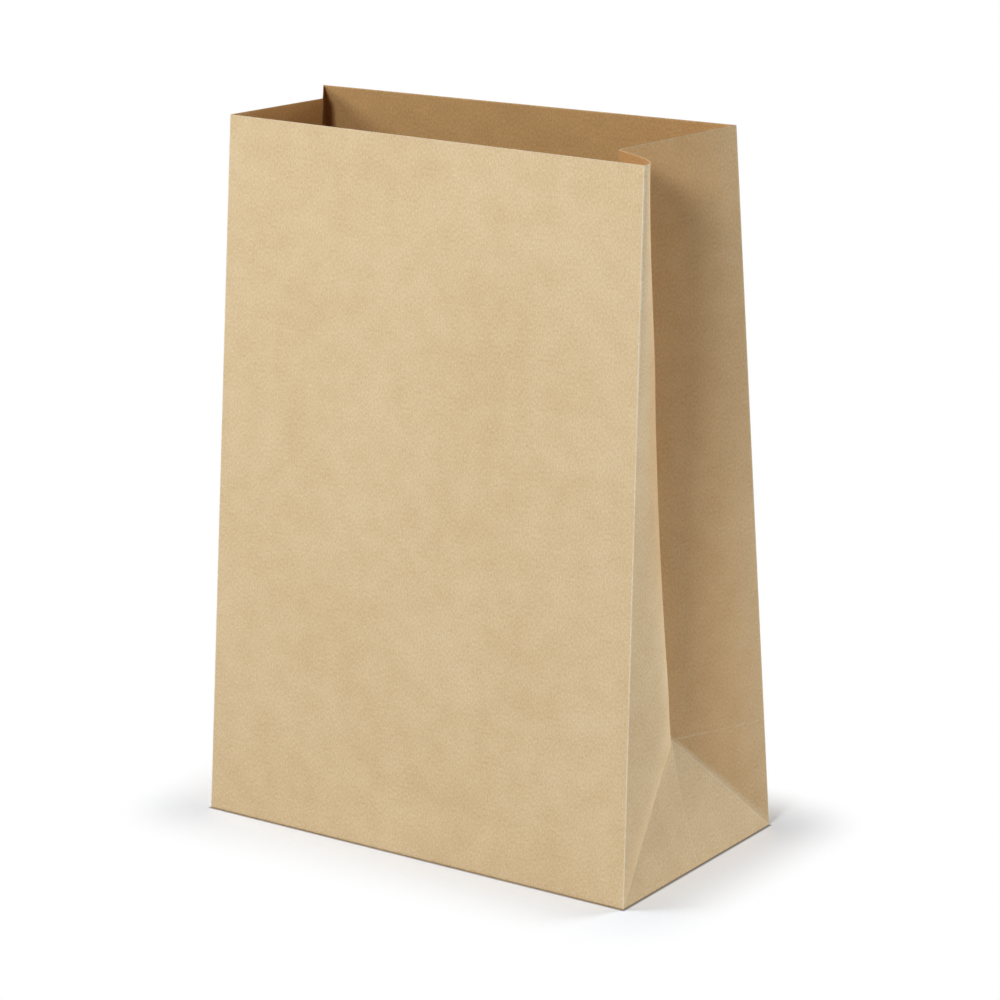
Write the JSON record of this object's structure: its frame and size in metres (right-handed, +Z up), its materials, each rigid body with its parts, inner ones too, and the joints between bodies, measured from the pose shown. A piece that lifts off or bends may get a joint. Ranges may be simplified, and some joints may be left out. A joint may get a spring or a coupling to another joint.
{
  "type": "flat-bottom paper bag",
  "caption": "Open flat-bottom brown kraft paper bag with folded side gussets and a glued block bottom, standing upright.",
  "frame": {"origin": "middle of the rectangular bottom, on the outer face of the lowest bottom flap, which rests on the floor", "axes": "+X along the front panel from left to right, +Y from the front panel to the back panel, +Z up towards the open mouth"},
  "size_m": [0.2687, 0.1301, 0.3601],
  "materials": {
    "kraft_paper": "matt, uncoated"
  },
  "bodies": {
    "root": {"paper_bag": "kraft_paper"}
  },
  "joints": []
}
